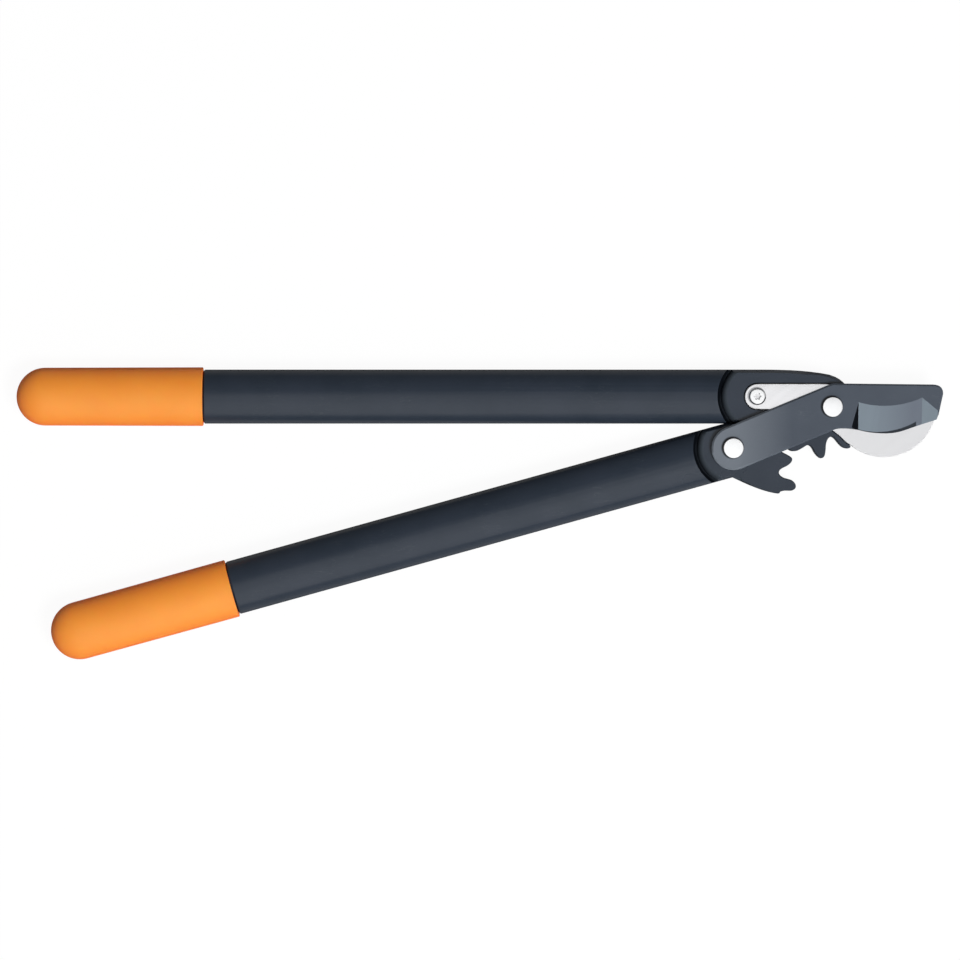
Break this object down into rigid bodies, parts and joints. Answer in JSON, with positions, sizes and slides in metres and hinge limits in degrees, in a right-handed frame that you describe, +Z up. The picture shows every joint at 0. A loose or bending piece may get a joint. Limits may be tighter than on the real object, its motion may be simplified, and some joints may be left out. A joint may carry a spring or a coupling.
{
  "type": "geared bypass lopper",
  "caption": "Geared bypass lopper with two straight handles, moulded grips, a hooked counter blade and a toothed lower handle that drives the cutting blade.",
  "frame": {"origin": "centre of the main pivot bolt's free end, on the plane that the tool lies on", "axes": "+X towards the jaws, along the straight upper handle; +Y from the lower handle towards the upper one; +Z up, along both pivots, towards the blade side"},
  "size_m": [0.5514, 0.1741, 0.027],
  "materials": {
    "handle_plastic": "satin moulded polyamide, dark slate",
    "grip_plastic": "smooth satin grip, orange",
    "coated_blade": "dark grey low-friction coating on ground steel",
    "hook_steel": "fine satin",
    "fastener_steel": "bright plated",
    "bush_bronze": "sintered bronze",
    "nylon": "natural nylon"
  },
  "bodies": {
    "hook_handle": {"upper_handle": "handle_plastic", "upper_grip": "grip_plastic", "hook": "hook_steel", "hook_screw": "fastener_steel", "hook_screw_washer": "fastener_steel", "hook_screw_nut": "fastener_steel", "main_pivot_bush": "bush_bronze", "main_pivot_bolt": "fastener_steel", "main_pivot_washer": "fastener_steel", "main_pivot_spring_washer": "fastener_steel", "main_pivot_nut": "fastener_steel"},
    "blade": {"cutting_blade": "coated_blade", "gear_pivot_bolt": "fastener_steel", "gear_pivot_washer": "fastener_steel", "gear_pivot_spring_washer": "fastener_steel", "gear_pivot_nut": "fastener_steel"},
    "toothed_handle": {"lower_handle": "handle_plastic", "lower_grip": "grip_plastic", "gear_pivot_bush": "bush_bronze", "gear_slip_washer": "nylon"}
  },
  "joints": [
    {"name": "blade_pivot", "type": "hinge", "parent": "hook_handle", "child": "blade", "pos_m": [0, 0, 0], "axis": [0, 0, 1], "range_deg": [0, 48]},
    {"name": "gear_pivot", "type": "hinge", "parent": "blade", "child": "toothed_handle", "pos_m": [-0.0589, -0.02452, 0], "axis": [0, 0, 1], "range_deg": [0, 40.8]}
  ],
  "couplings": [
    {"joint": "gear_pivot", "follows": "blade_pivot", "ratio": 0.85}
  ]
}
